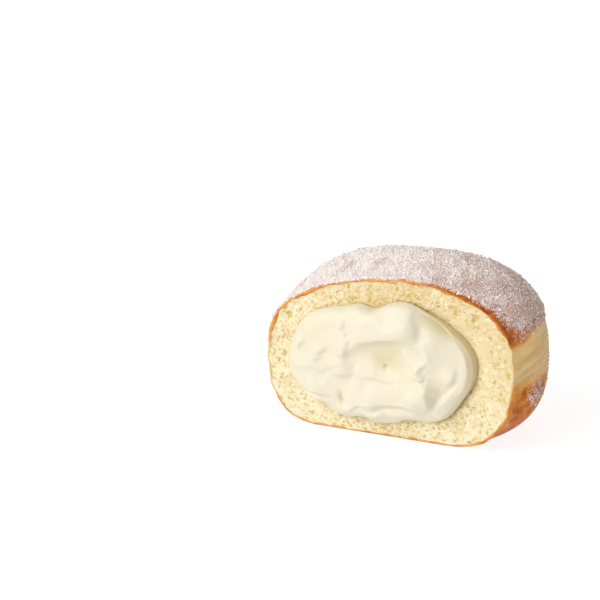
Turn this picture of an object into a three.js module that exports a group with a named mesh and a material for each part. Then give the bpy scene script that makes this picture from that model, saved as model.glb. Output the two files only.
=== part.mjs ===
// Half of a cream filled yeast doughnut, cut down the middle, in millimetres.
// While it is worked out, the cut lies in the plane y = 0 and faces -Y, and the bun rests on z = 0.
import * as THREE from "three";

// Bun
const HALF_WIDTH = 44.6;
const DEPTH = 49.2;
const CROWN_RISE = 33;
const BASE_DROP = 28.1;
const WAIST_HEIGHT = 25;
const CROWN_POWER = 2.32;
const BASE_POWER = 2.95;
const PLAN_POWER = 2.52;
const LEAN = 0.032;
const LUMP_HEIGHT = 0.35;
const LUMP_LENGTH = 9;
const GROUND_ROUND = 1.9;

// Edge of the cut, drawn in where the knife pressed the crown and the right side
const PRESS_TOP = 7.8;
const PRESS_RIGHT = 0.117;
const PRESS_REACH = 8.5;
const EDGE_ROUND = 0.8;

// Coat of sugar on the crown, down to a ragged line over the pale waist
const SUGAR_DEPTH = 0.55;
const SUGAR_LEAST = 0.5;
const SUGAR_LINE = 30;
const SUGAR_LINE_LEAN = 0.08;
const SUGAR_FADE = 4;
const SUGAR_SEED = 11;

// Hollow behind the cut; its right side falls into a groove beside the cream
const HOLLOW_X = -4;
const HOLLOW_Z = 23.6;
const HOLLOW_HALF_WIDTH = 30.9;
const HOLLOW_HALF_HEIGHT = 18;
const HOLLOW_DEPTH = 27;
const HOLLOW_POWER = 2.3;
const HOLLOW_FIRST_TURN = 0.2;
const MOUTH_ROUND = 1;
const DIP_WIDTH = 4;
const DIP_DEPTH = 3.6;
const DIP_ANGLE = 0.15;
const DIP_SPREAD = 0.62;

// Lobes of the outline, fading towards its middle: direction and spread in degrees, and how far
// each stands out
const LOBE_FADE = 3;
const LOBES = [
  { turn: 66, spread: 14, out: 2 },
  { turn: 95, spread: 9, out: -2.3 },
  { turn: -38, spread: 13, out: 1.3 },
  { turn: -58, spread: 8, out: -2 },
  { turn: -147, spread: 10, out: -1.7 },
  { turn: -170, spread: 10, out: 1 },
];

// Cream
const GAP = 0.35;
const LIP_OVERLAP = 0.8;
const LIP_DRAWN_BACK = 1.5;
const LIP_SINK = 1;
const LIP_SINK_POWER = 6;
const BULGE = 4.4;
const RIM_RISE = 0.3;
const BULGE_POWER = 3.4;
const BULGE_ROUND = 0.6;
const FOLD_FADE = 0.08;

// Folds in the front of the cream. Each path runs through three points (x, z) of the cut,
// and the cream stands high on its left: step is the height, steep and reach the widths
// over which it falls to the right and to the left.
const FOLDS = [
  // under the upper mass, down to the shaded middle
  { path: [[-12.7, 29.3], [-4, 32.2], [5.2, 32.4]], step: 2.2, steep: 1.6, reach: 7 },
  { path: [[-14, 26.5], [-13.2, 29.5], [-12.8, 33]], step: 0.8, steep: 1.2, reach: 5 },
  // right side of the top lobe
  { path: [[8.5, 33.6], [7.7, 37.3], [6, 41.3]], step: 2, steep: 1.8, reach: 6 },
  // swirl on the right
  { path: [[12.9, 36], [13.6, 28.2], [15.1, 22]], step: 1.5, steep: 1.6, reach: 6 },
  { path: [[21, 14], [25, 24.5], [18.5, 36]], step: 1.8, steep: 2.6, reach: 5 },
  { path: [[18.4, 19], [20.5, 21.9], [22.1, 25.7]], step: 1.1, steep: 1.3, reach: 4 },
  // strokes in the middle
  { path: [[9, 23.4], [11, 25.5], [12.9, 27.4]], step: 1.4, steep: 1.5, reach: 5 },
  { path: [[-9.9, 19.8], [-4, 20.1], [2.9, 19.7]], step: 0.9, steep: 1.2, reach: 4 },
  { path: [[-9.3, 21.6], [-10.4, 15.5], [-10.9, 10.6]], step: 0.8, steep: 1.2, reach: 5 },
  { path: [[-18.4, 19.1], [-14.8, 20.9], [-12.4, 24.1]], step: 0.9, steep: 2.2, reach: 6 },
  // strokes on the left
  { path: [[-26.6, 22.9], [-23.9, 24.2], [-21.5, 26.2]], step: 0.9, steep: 1.2, reach: 4 },
  { path: [[-29.2, 14.1], [-24.5, 13.1], [-19.7, 11.8]], step: 1.2, steep: 1.2, reach: 4 },
  { path: [[-28, 10.9], [-24, 9.9], [-20, 9.5]], step: 0.8, steep: 1.5, reach: 1.5 },
  // right side of the lower mass, its foot and the lip below it
  { path: [[12.3, 12.3], [13.6, 15.7], [13.3, 19.6]], step: 2.6, steep: 1.8, reach: 7 },
  { path: [[-15, 8.2], [-2, 11.5], [13, 12]], step: 1.8, steep: 1.3, reach: 6 },
  { path: [[-13, 6.2], [-0.6, 9], [11.8, 9.2]], step: 1, steep: 2, reach: 2 },
];
const FOLD_END = 0.3;
const PATH_STEPS = 10;
const TINY = 1e-9;

// Facets
const DOUGH_SIDES = 92;
const DOUGH_RINGS = 31;
const HOLLOW_RINGS = 6;
const CREAM_SIDES = 104;
const CREAM_BACK_RINGS = 5;
const CREAM_FRONT_RINGS = 20;
const FRONT_SPACING = 0.75;

// Colours
const DOUGH_COLOR = 0xc98a4e;
const CREAM_COLOR = 0xf5ecd3;
const DOUGH_ROUGHNESS = 0.75;
const CREAM_ROUGHNESS = 0.45;

function clamp01(value) {
  return Math.min(Math.max(value, 0), 1);
}

function smooth(from, to, value) {
  const t = clamp01((value - from) / (to - from));
  return t * t * (3 - 2 * t);
}

function seededRandom(seed) {
  const multiplier = 1664525;
  const increment = 1013904223;
  const range = 2 ** 32;
  let state = seed;
  return function next() {
    state = (state * multiplier + increment) % range;
    return state / range;
  };
}

function ringAngles(sides) {
  return Array.from({ length: sides }, (_, i) => (2 * Math.PI * i) / sides);
}

// Closed skin from a start pole over the rings to an end pole; the first pole looks along +Y.
function closedLoft(startPole, rings, endPole) {
  const sides = rings[0].length;
  const points = [startPole, ...rings.flat(), endPole];
  const last = points.length - 1;
  const faces = [];
  const at = (ring, side) => 1 + ring * sides + (side % sides);
  for (let side = 0; side < sides; side += 1) {
    faces.push(0, at(0, side + 1), at(0, side));
    faces.push(at(rings.length - 1, side), at(rings.length - 1, side + 1), last);
  }
  for (let ring = 0; ring < rings.length - 1; ring += 1) {
    for (let side = 0; side < sides; side += 1) {
      const near = at(ring, side);
      const nearNext = at(ring, side + 1);
      const far = at(ring + 1, side);
      const farNext = at(ring + 1, side + 1);
      faces.push(near, nearNext, farNext, near, farNext, far);
    }
  }
  const geometry = new THREE.BufferGeometry().setFromPoints(points);
  geometry.setIndex(faces);
  geometry.computeVertexNormals();
  return geometry;
}

// Height of the base once it has settled on the ground with a soft round edge
function settled(z) {
  return Math.max((z + Math.hypot(z, GROUND_ROUND)) / 2 - GROUND_ROUND / 4, 0);
}

// Point of the crust: around goes about the axis of the cut, along goes from the cut to the back.
function crustPoint(around, along) {
  const dx = Math.cos(around) * Math.cos(along);
  const dy = Math.sin(along);
  const dz = Math.sin(around) * Math.cos(along);
  const rise = dz >= 0 ? CROWN_RISE : BASE_DROP;
  const power = dz >= 0 ? CROWN_POWER : BASE_POWER;
  const plan = (Math.abs(dx / HALF_WIDTH) ** PLAN_POWER + Math.abs(dy / DEPTH) ** PLAN_POWER)
    ** (1 / PLAN_POWER);
  const radius = (plan ** power + Math.abs(dz / rise) ** power) ** (-1 / power);
  const point = new THREE.Vector3(dx, dy, dz).multiplyScalar(radius);
  const crown = clamp01(point.z / CROWN_RISE);
  const press = Math.exp(-((point.y / PRESS_REACH) ** 2));
  const lump = Math.sin(point.x / LUMP_LENGTH + 1) * Math.sin(point.y / LUMP_LENGTH + 2);
  const x = point.x * (1 - (point.x > 0 ? PRESS_RIGHT * press : 0));
  const z = point.z + crown * (LUMP_HEIGHT * lump - PRESS_TOP * press) + LEAN * x + WAIST_HEIGHT;
  return new THREE.Vector3(x, point.y, settled(z));
}

// Crust with the bumps of sugar that stick to its crown
function sugaredPoint(around, along, random) {
  const point = crustPoint(around, along);
  const line = SUGAR_LINE + SUGAR_LINE_LEAN * point.x;
  const cover = smooth(line, line + SUGAR_FADE, point.z);
  const outward = point.clone().sub(new THREE.Vector3(0, 0, WAIST_HEIGHT)).normalize();
  return point.addScaledVector(outward, SUGAR_DEPTH * cover * (SUGAR_LEAST + random()));
}

// 1 in a direction, falling to 0 on both sides of it over a spread
function towards(direction, spread, around) {
  const turn = Math.atan2(Math.sin(around - direction), Math.cos(around - direction));
  return Math.exp(-((turn / spread) ** 2));
}

function rightSide(around) {
  return towards(DIP_ANGLE, DIP_SPREAD, around);
}

function lobes(around) {
  const { degToRad } = THREE.MathUtils;
  return LOBES.reduce(
    (sum, lobe) => sum + lobe.out * towards(degToRad(lobe.turn), degToRad(lobe.spread), around), 0,
  );
}

// Outline of the hollow, grown by an even margin and scaled about its middle
function hollowPoint(around, margin, scale, y) {
  const dx = Math.cos(around);
  const dz = Math.sin(around);
  const oval = (Math.abs(dx / (HOLLOW_HALF_WIDTH + margin)) ** HOLLOW_POWER
    + Math.abs(dz / (HOLLOW_HALF_HEIGHT + margin)) ** HOLLOW_POWER) ** (-1 / HOLLOW_POWER);
  const radius = (oval + lobes(around) * scale ** LOBE_FADE) * scale;
  const x = dx * radius;
  return new THREE.Vector3(HOLLOW_X + x, y, HOLLOW_Z + dz * radius + LEAN * x);
}

// Turn from the mouth of the hollow towards its deepest point
function hollowTurn(share) {
  return HOLLOW_FIRST_TURN + (Math.PI / 2 - HOLLOW_FIRST_TURN) * share;
}

function makeDough() {
  const angles = ringAngles(DOUGH_SIDES);
  const random = seededRandom(SUGAR_SEED);
  const rings = [];
  const edgeTurn = EDGE_ROUND / HALF_WIDTH;
  for (let ring = DOUGH_RINGS - 1; ring >= 0; ring -= 1) {
    const along = edgeTurn + (Math.PI / 2 - edgeTurn) * (ring / DOUGH_RINGS);
    rings.push(angles.map((around) => sugaredPoint(around, along, random)));
  }
  const middle = new THREE.Vector3(0, 0, WAIST_HEIGHT);
  const inset = 1 - EDGE_ROUND / HALF_WIDTH;
  rings.push(angles.map((around) => crustPoint(around, 0).sub(middle).multiplyScalar(inset).add(middle)));
  const mouth = (share) => angles.map((around) => {
    const right = rightSide(around);
    const width = MOUTH_ROUND + DIP_WIDTH * right;
    const depth = MOUTH_ROUND + DIP_DEPTH * right;
    return hollowPoint(around, width * (1 - share), 1, depth * share * share);
  });
  rings.push(mouth(0), mouth(0.5), mouth(1));
  for (let ring = 1; ring <= HOLLOW_RINGS; ring += 1) {
    const turn = hollowTurn((ring - 1) / HOLLOW_RINGS);
    const y = HOLLOW_DEPTH * Math.sin(turn);
    rings.push(angles.map((around) => hollowPoint(around, 0, Math.cos(turn), y)));
  }
  const back = crustPoint(0, Math.PI / 2);
  const deepest = new THREE.Vector3(HOLLOW_X, HOLLOW_DEPTH, HOLLOW_Z);
  return closedLoft(back, rings, deepest);
}

// Curve through three points, split into short steps
function foldSteps(path) {
  const steps = [];
  for (let i = 0; i <= PATH_STEPS; i += 1) {
    const t = i / PATH_STEPS;
    const weights = [(1 - t) * (1 - 2 * t), 4 * t * (1 - t), t * (2 * t - 1)];
    const x = path.reduce((sum, point, k) => sum + point[0] * weights[k], 0);
    const z = path.reduce((sum, point, k) => sum + point[1] * weights[k], 0);
    steps.push(new THREE.Vector2(x, z));
  }
  return steps;
}

const FOLD_CURVES = FOLDS.map((fold) => foldSteps(fold.path));

// Height that one fold adds at a point of the cut
function foldHeight(fold, steps, x, z) {
  const spot = new THREE.Vector2(x, z);
  let nearest = Infinity;
  let side = 0;
  let share = 0;
  for (let i = 0; i < PATH_STEPS; i += 1) {
    const run = steps[i + 1].clone().sub(steps[i]);
    const t = clamp01(spot.clone().sub(steps[i]).dot(run) / run.lengthSq());
    const offset = spot.clone().sub(steps[i].clone().addScaledVector(run, t));
    const distance = offset.length();
    if (distance < nearest) {
      nearest = distance;
      side = run.cross(offset) / (run.length() * distance + TINY);
      share = (i + t) / PATH_STEPS;
    }
  }
  const width = fold.steep + (fold.reach - fold.steep) * (0.5 + 0.5 * side);
  const ends = FOLD_END + (1 - FOLD_END) * Math.sin(Math.PI * share);
  return fold.step * ends * Math.exp(-((nearest / width) ** 2));
}

function creamFront(x, z, ratio) {
  const bulge = RIM_RISE + BULGE * (1 - ratio ** BULGE_POWER) ** BULGE_ROUND;
  const fade = smooth(0, FOLD_FADE, 1 - ratio);
  const folds = FOLDS.reduce((sum, fold, i) => sum + foldHeight(fold, FOLD_CURVES[i], x, z), 0);
  return bulge + fade * folds;
}

function makeCream() {
  const angles = ringAngles(CREAM_SIDES);
  const rings = [];
  for (let ring = CREAM_BACK_RINGS; ring >= 1; ring -= 1) {
    const turn = hollowTurn((ring - 1) / CREAM_BACK_RINGS);
    const y = (HOLLOW_DEPTH - GAP) * Math.sin(turn) - GAP;
    rings.push(angles.map((around) => hollowPoint(around, -2 * GAP, Math.cos(turn), y)));
  }
  const sunk = (around) => LIP_SINK * rightSide(around);
  const lip = (around) => LIP_OVERLAP * (1 - LIP_DRAWN_BACK * rightSide(around));
  rings.push(angles.map((around) => hollowPoint(around, -2 * GAP, 1, sunk(around) - GAP)));
  rings.push(angles.map((around) => hollowPoint(around, lip(around), 1, sunk(around) - GAP)));
  for (let ring = 0; ring < CREAM_FRONT_RINGS; ring += 1) {
    const ratio = Math.cos((Math.PI / 2) * (ring / CREAM_FRONT_RINGS) ** FRONT_SPACING);
    rings.push(angles.map((around) => {
      const point = hollowPoint(around, lip(around), ratio, -GAP);
      point.y += sunk(around) * ratio ** LIP_SINK_POWER - creamFront(point.x, point.z, ratio);
      return point;
    }));
  }
  const back = new THREE.Vector3(HOLLOW_X, HOLLOW_DEPTH - 2 * GAP, HOLLOW_Z);
  const front = new THREE.Vector3(HOLLOW_X, -GAP - creamFront(HOLLOW_X, HOLLOW_Z, 0), HOLLOW_Z);
  return closedLoft(back, rings, front);
}

function makeMesh(name, geometry, color, roughness) {
  const material = new THREE.MeshStandardMaterial({ color, roughness });
  const mesh = new THREE.Mesh(geometry, material);
  mesh.name = name;
  return mesh;
}

const half = new THREE.Group();
half.add(makeMesh("dough", makeDough(), DOUGH_COLOR, DOUGH_ROUGHNESS));
half.add(makeMesh("cream", makeCream(), CREAM_COLOR, CREAM_ROUGHNESS));

// The origin lies on the ground below the middle of the half.
const box = new THREE.Box3().setFromObject(half);
const middle = box.getCenter(new THREE.Vector3());
half.position.set(-middle.x, -middle.y, -box.min.z);

const part = new THREE.Group();
part.add(half);
export default part;
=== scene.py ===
import itertools
import math

import bpy
import numpy as np
from bpy.props import FloatProperty, FloatVectorProperty, IntProperty, PointerProperty
from mathutils import Matrix, Vector
from mathutils.kdtree import KDTree


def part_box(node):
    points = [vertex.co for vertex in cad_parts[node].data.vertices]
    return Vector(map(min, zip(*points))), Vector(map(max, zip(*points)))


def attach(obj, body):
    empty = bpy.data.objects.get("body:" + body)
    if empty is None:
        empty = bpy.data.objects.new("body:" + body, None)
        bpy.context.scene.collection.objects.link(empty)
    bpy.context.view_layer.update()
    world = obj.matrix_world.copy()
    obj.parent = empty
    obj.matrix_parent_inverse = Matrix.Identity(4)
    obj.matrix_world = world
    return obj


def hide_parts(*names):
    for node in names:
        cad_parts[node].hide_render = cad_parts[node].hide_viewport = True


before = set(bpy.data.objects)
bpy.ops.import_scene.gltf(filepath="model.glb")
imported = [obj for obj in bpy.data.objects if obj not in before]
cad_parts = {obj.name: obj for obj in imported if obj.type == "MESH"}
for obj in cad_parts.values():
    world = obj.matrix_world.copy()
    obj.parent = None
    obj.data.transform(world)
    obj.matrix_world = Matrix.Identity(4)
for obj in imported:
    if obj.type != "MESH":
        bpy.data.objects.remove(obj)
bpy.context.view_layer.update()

bl_info = {
    "name": "Cream filled doughnut half",
    "version": (1, 0, 0),
    "blender": (4, 5, 0),
    "location": "View3D > Sidebar > Doughnut",
    "description": "Builds a sugared doughnut half with its cream, and a plain stage for it",
    "category": "Object",
}

MM = 0.001
DOUGH_LOW, DOUGH_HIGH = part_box("dough")
HALF_WIDTH = 44.6
CUT = Vector((DOUGH_LOW.x + HALF_WIDTH * MM, DOUGH_LOW.y, 0))

# Folds in the front of the cream, in millimetres. Each path runs through three points (x, z) of
# the cut, and the cream stands high on its left by step; it falls away over steep to the right
# and over reach to the left.
FOLDS = (
    # under the upper mass, down to the shaded middle
    (((-13, 28.6), (-3, 32.1), (9, 32)), 2.6, 1.3, 8),
    (((-14.5, 25), (-13.4, 29), (-12.9, 33)), 1.2, 1.2, 6),
    (((-9, 25.5), (0, 26.5), (8, 26)), -0.9, 4.5, 4.5),
    # right side of the top lobe, and the hollow side beside it
    (((9.7, 32.2), (8.6, 34.8), (7.9, 41)), 2.2, 1.8, 6),
    (((11.5, 42), (18, 39.2), (24.5, 35)), -2.6, 2.6, 2.6),
    # swirl on the right
    (((12.4, 34), (13.4, 29), (15, 23)), 1.2, 1.6, 5),
    (((20.5, 11), (28, 24.5), (20.5, 37.2)), 1.8, 1.5, 6),
    (((18.5, 19.9), (21.3, 22.9), (22, 26)), 1.7, 1.1, 4),
    # strokes in the middle
    (((8.9, 24), (11.1, 25.6), (12.5, 27.5)), 1.8, 1.2, 4),
    (((10.4, 21.5), (12.9, 22.5), (13.6, 23.9)), 1.3, 1, 3),
    (((-9.9, 19.8), (-4, 20.1), (2.9, 19.7)), 0.9, 1.1, 4),
    (((-9.3, 21.6), (-10.4, 15.5), (-10.9, 10.6)), 0.9, 1.2, 5),
    (((-18.4, 19.1), (-14.8, 20.9), (-12.4, 24.1)), 1, 2.4, 6),
    (((-18.2, 19.4), (-14.4, 19.6), (-10.2, 20.7)), 0.8, 1, 3),
    (((-0.4, 25.1), (-0.1, 24.6), (-0.2, 23.9)), -0.6, 0.6, 0.6),
    (((8.3, 22), (10.6, 22.9), (12.4, 24.2)), 0.9, 0.8, 2.5),
    # strokes on the left
    (((-16.1, 33.8), (-15.6, 35.6), (-16, 37.6)), 0.6, 0.8, 2.5),
    (((-30.7, 25.7), (-30.2, 27.5), (-29, 29.4)), 0.7, 0.8, 2.5),
    (((-24.8, 25.7), (-22.5, 26.8), (-20.9, 28.5)), 0.7, 0.8, 2.5),
    (((-33.4, 21.2), (-25.2, 20.7), (-14.8, 22.9)), 0.7, 1.1, 3.5),
    (((-25.7, 23.4), (-23.4, 24.4), (-21.4, 25.7)), 0.9, 1.2, 4),
    (((-29.2, 14.1), (-24, 13.3), (-19.7, 12.6)), 1.7, 1.1, 4),
    (((-29.5, 11), (-25.2, 10.2), (-20.8, 9.8)), 1.7, 1.5, 1.6),
    # right side of the lower mass, its foot and the lip below it
    (((12.5, 12.6), (14.6, 16.8), (14.6, 20.8)), 3.6, 1.2, 6),
    (((-15, 8.6), (-1.3, 12.4), (12.5, 12.5)), 2.1, 1.2, 5),
    (((-13.4, 6.6), (-3.4, 8.4), (8, 8.6)), 1.6, 2, 2.2),
    # foot of the swirl and a tongue below it
    (((23.2, 20.3), (19.4, 16), (15.1, 12.3)), 1.1, 0.9, 3),
    (((15.3, 10.9), (17.5, 9.6), (20.8, 10.4)), 1, 1, 1.6),
    # a dimple and a notch
    (((-16.2, 13.7), (-15.6, 11.7), (-13.7, 10.7)), -1, 0.9, 1.4),
    (((-13.5, 32.6), (-13, 31.8), (-12.6, 31)), -0.7, 0.8, 0.8),
)
# Lobes of the cream's outline, fading towards its middle: direction and spread in degrees, and how
# far each stands out in millimetres.
LOBES = (
    (64, 16, 1.6),
    (95, 11, -1.6),
    (-38, 13, 1.3),
    (-58, 9, -1.4),
    (-147, 10, -1.7),
    (-170, 10, 1),
    (150, 9, 0.7),
    (124, 8, -0.6),
    (24, 9, -0.7),
    (2, 10, 0.5),
    (-18, 8, -0.5),
    (-88, 10, 0.6),
    (-108, 9, -0.6),
    (-126, 9, 0.6),
)
LOBE_FADE = 3
# Wrinkles of the waist on the right: first and last point (y, z) and half width, in millimetres
WRINKLES = (
    ((0, 22.6), (14, 28.5), 0.7),
    ((1, 21), (10, 24.2), 0.5),
    ((4, 27.8), (13, 32), 0.9),
)
# Folds and waves of the cream: height left at a fold's ends, and how much folds and waves differ
FOLD_END = 0.3
FOLD_LEAST = 0.8
FOLD_SPREAD = 0.4
PATH_STEPS = 10
WAVES = 9
WAVE_SHORTENING = 0.7
TINY = 1e-9

# Whole numbers that turn a cell of the noise into a random one
HASH_STEPS = (73856093, 19349663, 83492791)
HASH_SEED_STEP = 6542989
HASH_SHIFTS = (15, 12, 16)
HASH_FACTOR = 0x2C1B3C6D
HASH_MASK = 0xFFFFFFFF

# Steps of the meshes
CRUST_SIDES = 480
CRUST_RINGS = 136
CRUMB_SIDES = 900
CRUMB_RINGS = 44
MOUTH_RINGS = 10
HOLLOW_RINGS = 6
INNER_RINGS = 26
CREAM_SIDES = 480
CREAM_RINGS = 105
CREAM_RING_POWER = 0.75
FLOOR_SIDES = 96

# Seeds of the random draws
BUBBLE_SEED = 5
RIPPLE_SEED = 12
INSET_SEED = 14
TORN_SEED = 17
FOLD_SEED = 18
PORE_SEEDS = (19, 20)
GRAIN_SEED = 21
CRYSTAL_SEED = 22
CLUMP_SEED = 23
RIM_SEED = 24
WARP_SEEDS = (31, 32)
WAVE_SEED = 33

# Layers of noise: height or share, length of the lumps and seed
WANDER_LAYERS = ((1, 7 * MM, 1), (0.6, 2 * MM, 2))
PATCH_LAYERS = ((0.65, 1.1 * MM, 3), (0.35, 2.6 * MM, 7))
LUMP_LAYERS = ((0.35, 0.9 * MM, 4), (0.35, 0.5 * MM, 6))
THIN_LAYERS = ((1, 3.5 * MM, 15), (0.6, 1.4 * MM, 16))
SWELL_LAYERS = ((0.5 * MM, 4 * MM, 8), (0.2 * MM, 0.7 * MM, 9))

# The skin's lumps, its wrinkles and the crust's uneven thickness in the cut
LUMP_PHASES = (1, 2)
WRINKLE_END = 0.15
WRINKLE_SIDE = (30 * MM, 36 * MM)
INSET_LEAST = 0.35
INSET_SPREAD = 1.3
INSET_LENGTH = 2.2 * MM
THICK_TURN = math.radians(155)
THICK_SPREAD = math.radians(22)

# Browning: where it sets in above and below the waist, and where it stays golden
HIGH_EDGE = (-2 * MM, 2.2 * MM)
LOW_EDGE = (-2 * MM, 4 * MM)
LOW_BROWN = 0.78
LOW_BROWN_BEHIND = 0.2
LOW_BROWN_REACH = 6 * MM
FOOT_RISE = 0.15
GOLDEN = 0.4
GOLDEN_DEPTH = 3 * MM
GOLDEN_WIDTH = 25 * MM
RIM_BROWN = 0.15
RIM_BROWN_SPREAD = 0.9
RIM_BROWN_LENGTH = 2 * MM

# Sugar's cover: how it thins on the right, along the rim and beside the cut
ASIDE = (5 * MM, 35 * MM)
LOWER_ASIDE = 2.5
RIM_START = 0.2
RIM_END = 1.6
RIM_END_ASIDE = 4
RIM_WANDER = 0.4
BESIDE_X = (8 * MM, 32 * MM)
BESIDE_Y = (0.5 * MM, 11 * MM)
BESIDE_CLIMB = (3 * MM, 22 * MM)
BESIDE_BARE = 0.66
PATCH_CONTRAST = 0.8
PATCH_FADE = 0.3
COAT_EDGE = (0.2, 0.7)
COAT_LEAST = 0.2
COAT_LUMPS = 1.3

# Dusting of sugar low on the right: its middle in millimetres, and a thinner one along the side
DUST_MIDDLE = (43, 11, 18)
DUST_RADIUS = 6.5 * MM
DUST_EDGE = (0.1, 1.0)
DUST_COVER = 0.36
SIDE_DUST_X = (36 * MM, 46 * MM)
SIDE_DUST_Y = (3 * MM, 12 * MM)
SIDE_DUST_COVER = 0.15

# Thinness of the sugar, through which the crust tints it
THIN_LEAST = 0.17
THIN_RIGHT = 0.6
THIN_SIDE = (-8 * MM, 40 * MM)
THIN_UNEVEN = 0.75

# The crumb's bubbles, their relief, the depth at which the painted shade inside them is full, and its tone,
# darker towards the top and the right and paler at the bottom as painted light
PORE_WARP = 0.9 * MM
PORE_WARP_LENGTH = 0.7 * MM
BUBBLE_SPREAD = 0.35
BUBBLE_OFFSETS = (-0.3, 0.75)
HOLE_DEPTH = 0.8
CAVE_DEPTH = 0.7
CAVE_LEAST = 0.12
CAVE_X = (2 * MM, 14 * MM)
CAVE_Z = (26 * MM, 34 * MM)
EDGE_RINGS = 3
PORE_RELIEF = 0.65
PORE_SHADE_DEPTH = 0.42 * MM
DARKER_TOP = 1.2
DARKER_TOP_SPREAD = 0.7
PAINTED_LIGHT_BOTTOM_SPREAD = 0.9

# Painted shade in the cream's recesses, by the height of its folds, and on its edge beside the groove on the
# right
RECESS_SHADE_EDGE = (1 * MM, -1.8 * MM)
RECESS_SHADE_RIGHT = 0.3
RECESS_SHADE_POWER = 3

# Sugar's grains: how they gather, differ, stand and are tinted
GRAIN_EDGE = (0.03, 0.4)
GRAIN_GATHER = 1.0
CRYSTAL_GATHER = 0.6
CLUMP_GATHER = 2.0
SIZE_SPREAD = 0.25
SQUASH = (0.7, 1.1)
GRAIN_LIFT = 0.2
CLUMP_LIFT = 0.1
TINT_THIN = 0.9
TINT_SPREAD = 0.8
BEAD_FACES = ((0, 1, 2), (1, 3, 2), (3, 4, 2), (4, 0, 2), (1, 0, 5), (3, 1, 5), (4, 3, 5), (0, 4, 5))
CUBE_FACES = ((0, 1, 3, 2), (4, 6, 7, 5), (0, 4, 5, 1), (2, 3, 7, 6), (0, 2, 6, 4), (1, 5, 7, 3))

# Lengths of the noises in the finishes
BLOTCH_LENGTH = 4 * MM
DARK_LENGTH = 3 * MM
SKIN_LENGTH = 2.5 * MM
SKIN_FINE_LENGTH = 0.7 * MM
SPECK_LENGTH = 0.42 * MM
STREAK_LENGTH = 8 * MM
STREAK_FLATNESS = (1, 1, 2.4)
CRUMB_PATCH_LENGTH = 5 * MM
CRUMB_MOTTLE_LENGTH = 1.5 * MM
CRUMB_FINE_LENGTH = 0.5 * MM
CREAM_CLOUD_LENGTH = 9 * MM
CREAM_FINE_LENGTH = 1.1 * MM

# Contrasts of the crust's finish, and the steps at which its colours change
BROWN_SHARE = 0.85
BROWN_BLOTCH = 1.3
BROWN_FINE = 0.7
BROWN_STEP = (0.15, 1.0)
DARK_BLOTCH = 2.0
DARK_STEP = (0.75, 1.4)
STREAK_STEP = (0.35, 0.7)
LIGHT_CRUST_GAIN = 2.0
SUGAR_SPECK = 1.3
SUGAR_STEP = (0.25, 0.6)
SUGAR_FINE = 0.9
SKIN_FINE_BUMP = 0.4
CRUST_ROUGHNESS = 0.38
SUGAR_ROUGHNESS = 0.35

# Contrasts of the crumb's, the cream's and the grains' finishes
CRUMB_PATCH = 0.6
# Crumb's tone: darker towards the top and the right, paler at the bottom as painted light
CRUMB_TONE_SHARE = 0.16
CRUMB_TONE_STEP = (0.38, 0.72)
# Painted shade inside the bubbles: how it varies, and the steps at which it sets in
PORE_SHADE_PATCH = 0.35
PORE_SHADE_STEP = (0.15, 1.2)
CREAM_CLOUD = 0.5
# Steps at which the painted shade in the cream's recesses sets in
CREAM_SHADE_STEP = (0.1, 1.0)
CREAM_ROUGHNESS = 0.42
CREAM_FINE_ROUGHNESS = 0.1
GRAIN_ROUGHNESS = 0.3
TINT_ROUGHNESS = 0.3

# The stage: the floor's distance below the food, directions towards the lights, and the camera
FLOOR_DROP = 0.2 * MM
LIGHT_FROM = (-0.45, -0.71, 0.54)
BOUNCE_FROM = (0.1, -0.4, -0.9)
SENSOR_WIDTH = 36
CLIP_START = 10 * MM


def length(name, description, millimetres):
    """A length that is set in millimetres and kept in metres."""
    return FloatProperty(name=name, description=description, default=millimetres * MM, unit="LENGTH")


def ratio(name, description, value):
    """A plain number without a unit."""
    return FloatProperty(name=name, description=description, default=value)


def angle(name, description, degrees):
    """An angle that is set in degrees."""
    return FloatProperty(name=name, description=description, default=math.radians(degrees), subtype="ANGLE")


def number(name, description, value):
    """A number of like things."""
    return IntProperty(name=name, description=description, default=value)


def color(name, description, red, green, blue):
    """A colour as a screen shows it, from 0 to 255 a channel."""
    value = (red / 255, green / 255, blue / 255)
    return FloatVectorProperty(name=name, description=description, default=value, subtype="COLOR_GAMMA")


class BunSizes(bpy.types.PropertyGroup):
    """Sizes of the half bun."""

    half_width: length("Half width", "Half of the bun's width before the knife drew it in", HALF_WIDTH)
    depth: length("Depth", "From the cut to the back", (DOUGH_HIGH.y - DOUGH_LOW.y) / MM)
    crown_rise: length("Crown rise", "Height of the crown above the waist", 33)
    base_drop: length("Base drop", "Depth of the base below the waist, before its flat spot", 28.1)
    waist_height: length("Waist height", "Height of the waist above the ground", 25)
    crown_power: ratio("Crown power", "Squareness of the crown", 2.32)
    base_power: ratio("Base power", "Squareness of the base", 2.95)
    plan_power: ratio("Plan power", "Squareness of the bun seen from above", 2.52)
    lean: ratio("Lean", "Rise of the bun towards its right", 0.032)
    lump_height: length("Lump height", "Height of the crown's gentle lumps", 0.35)
    lump_length: length("Lump length", "Length of the crown's gentle lumps", 9)
    ground_round: length("Ground round", "Roundness of the edge of the flat spot", 1.9)
    press_top: length("Pressed top", "How far the knife drew the crown down", 7.8)
    press_right: ratio("Pressed right", "Share by which the knife drew the right side in", 0.117)
    press_reach: length("Press reach", "How far from the cut the crust is drawn in", 8.5)
    crust: length("Crust", "Thickness of the browned crust", 0.6)
    crust_left: ratio("Crust left", "Share by which the crust is thicker at the upper left", 0.9)
    torn: length("Torn", "Height of the uneven edge that the knife left", 0.65)
    torn_length: length("Torn length", "Length of the uneven edge's lumps", 3)


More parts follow.
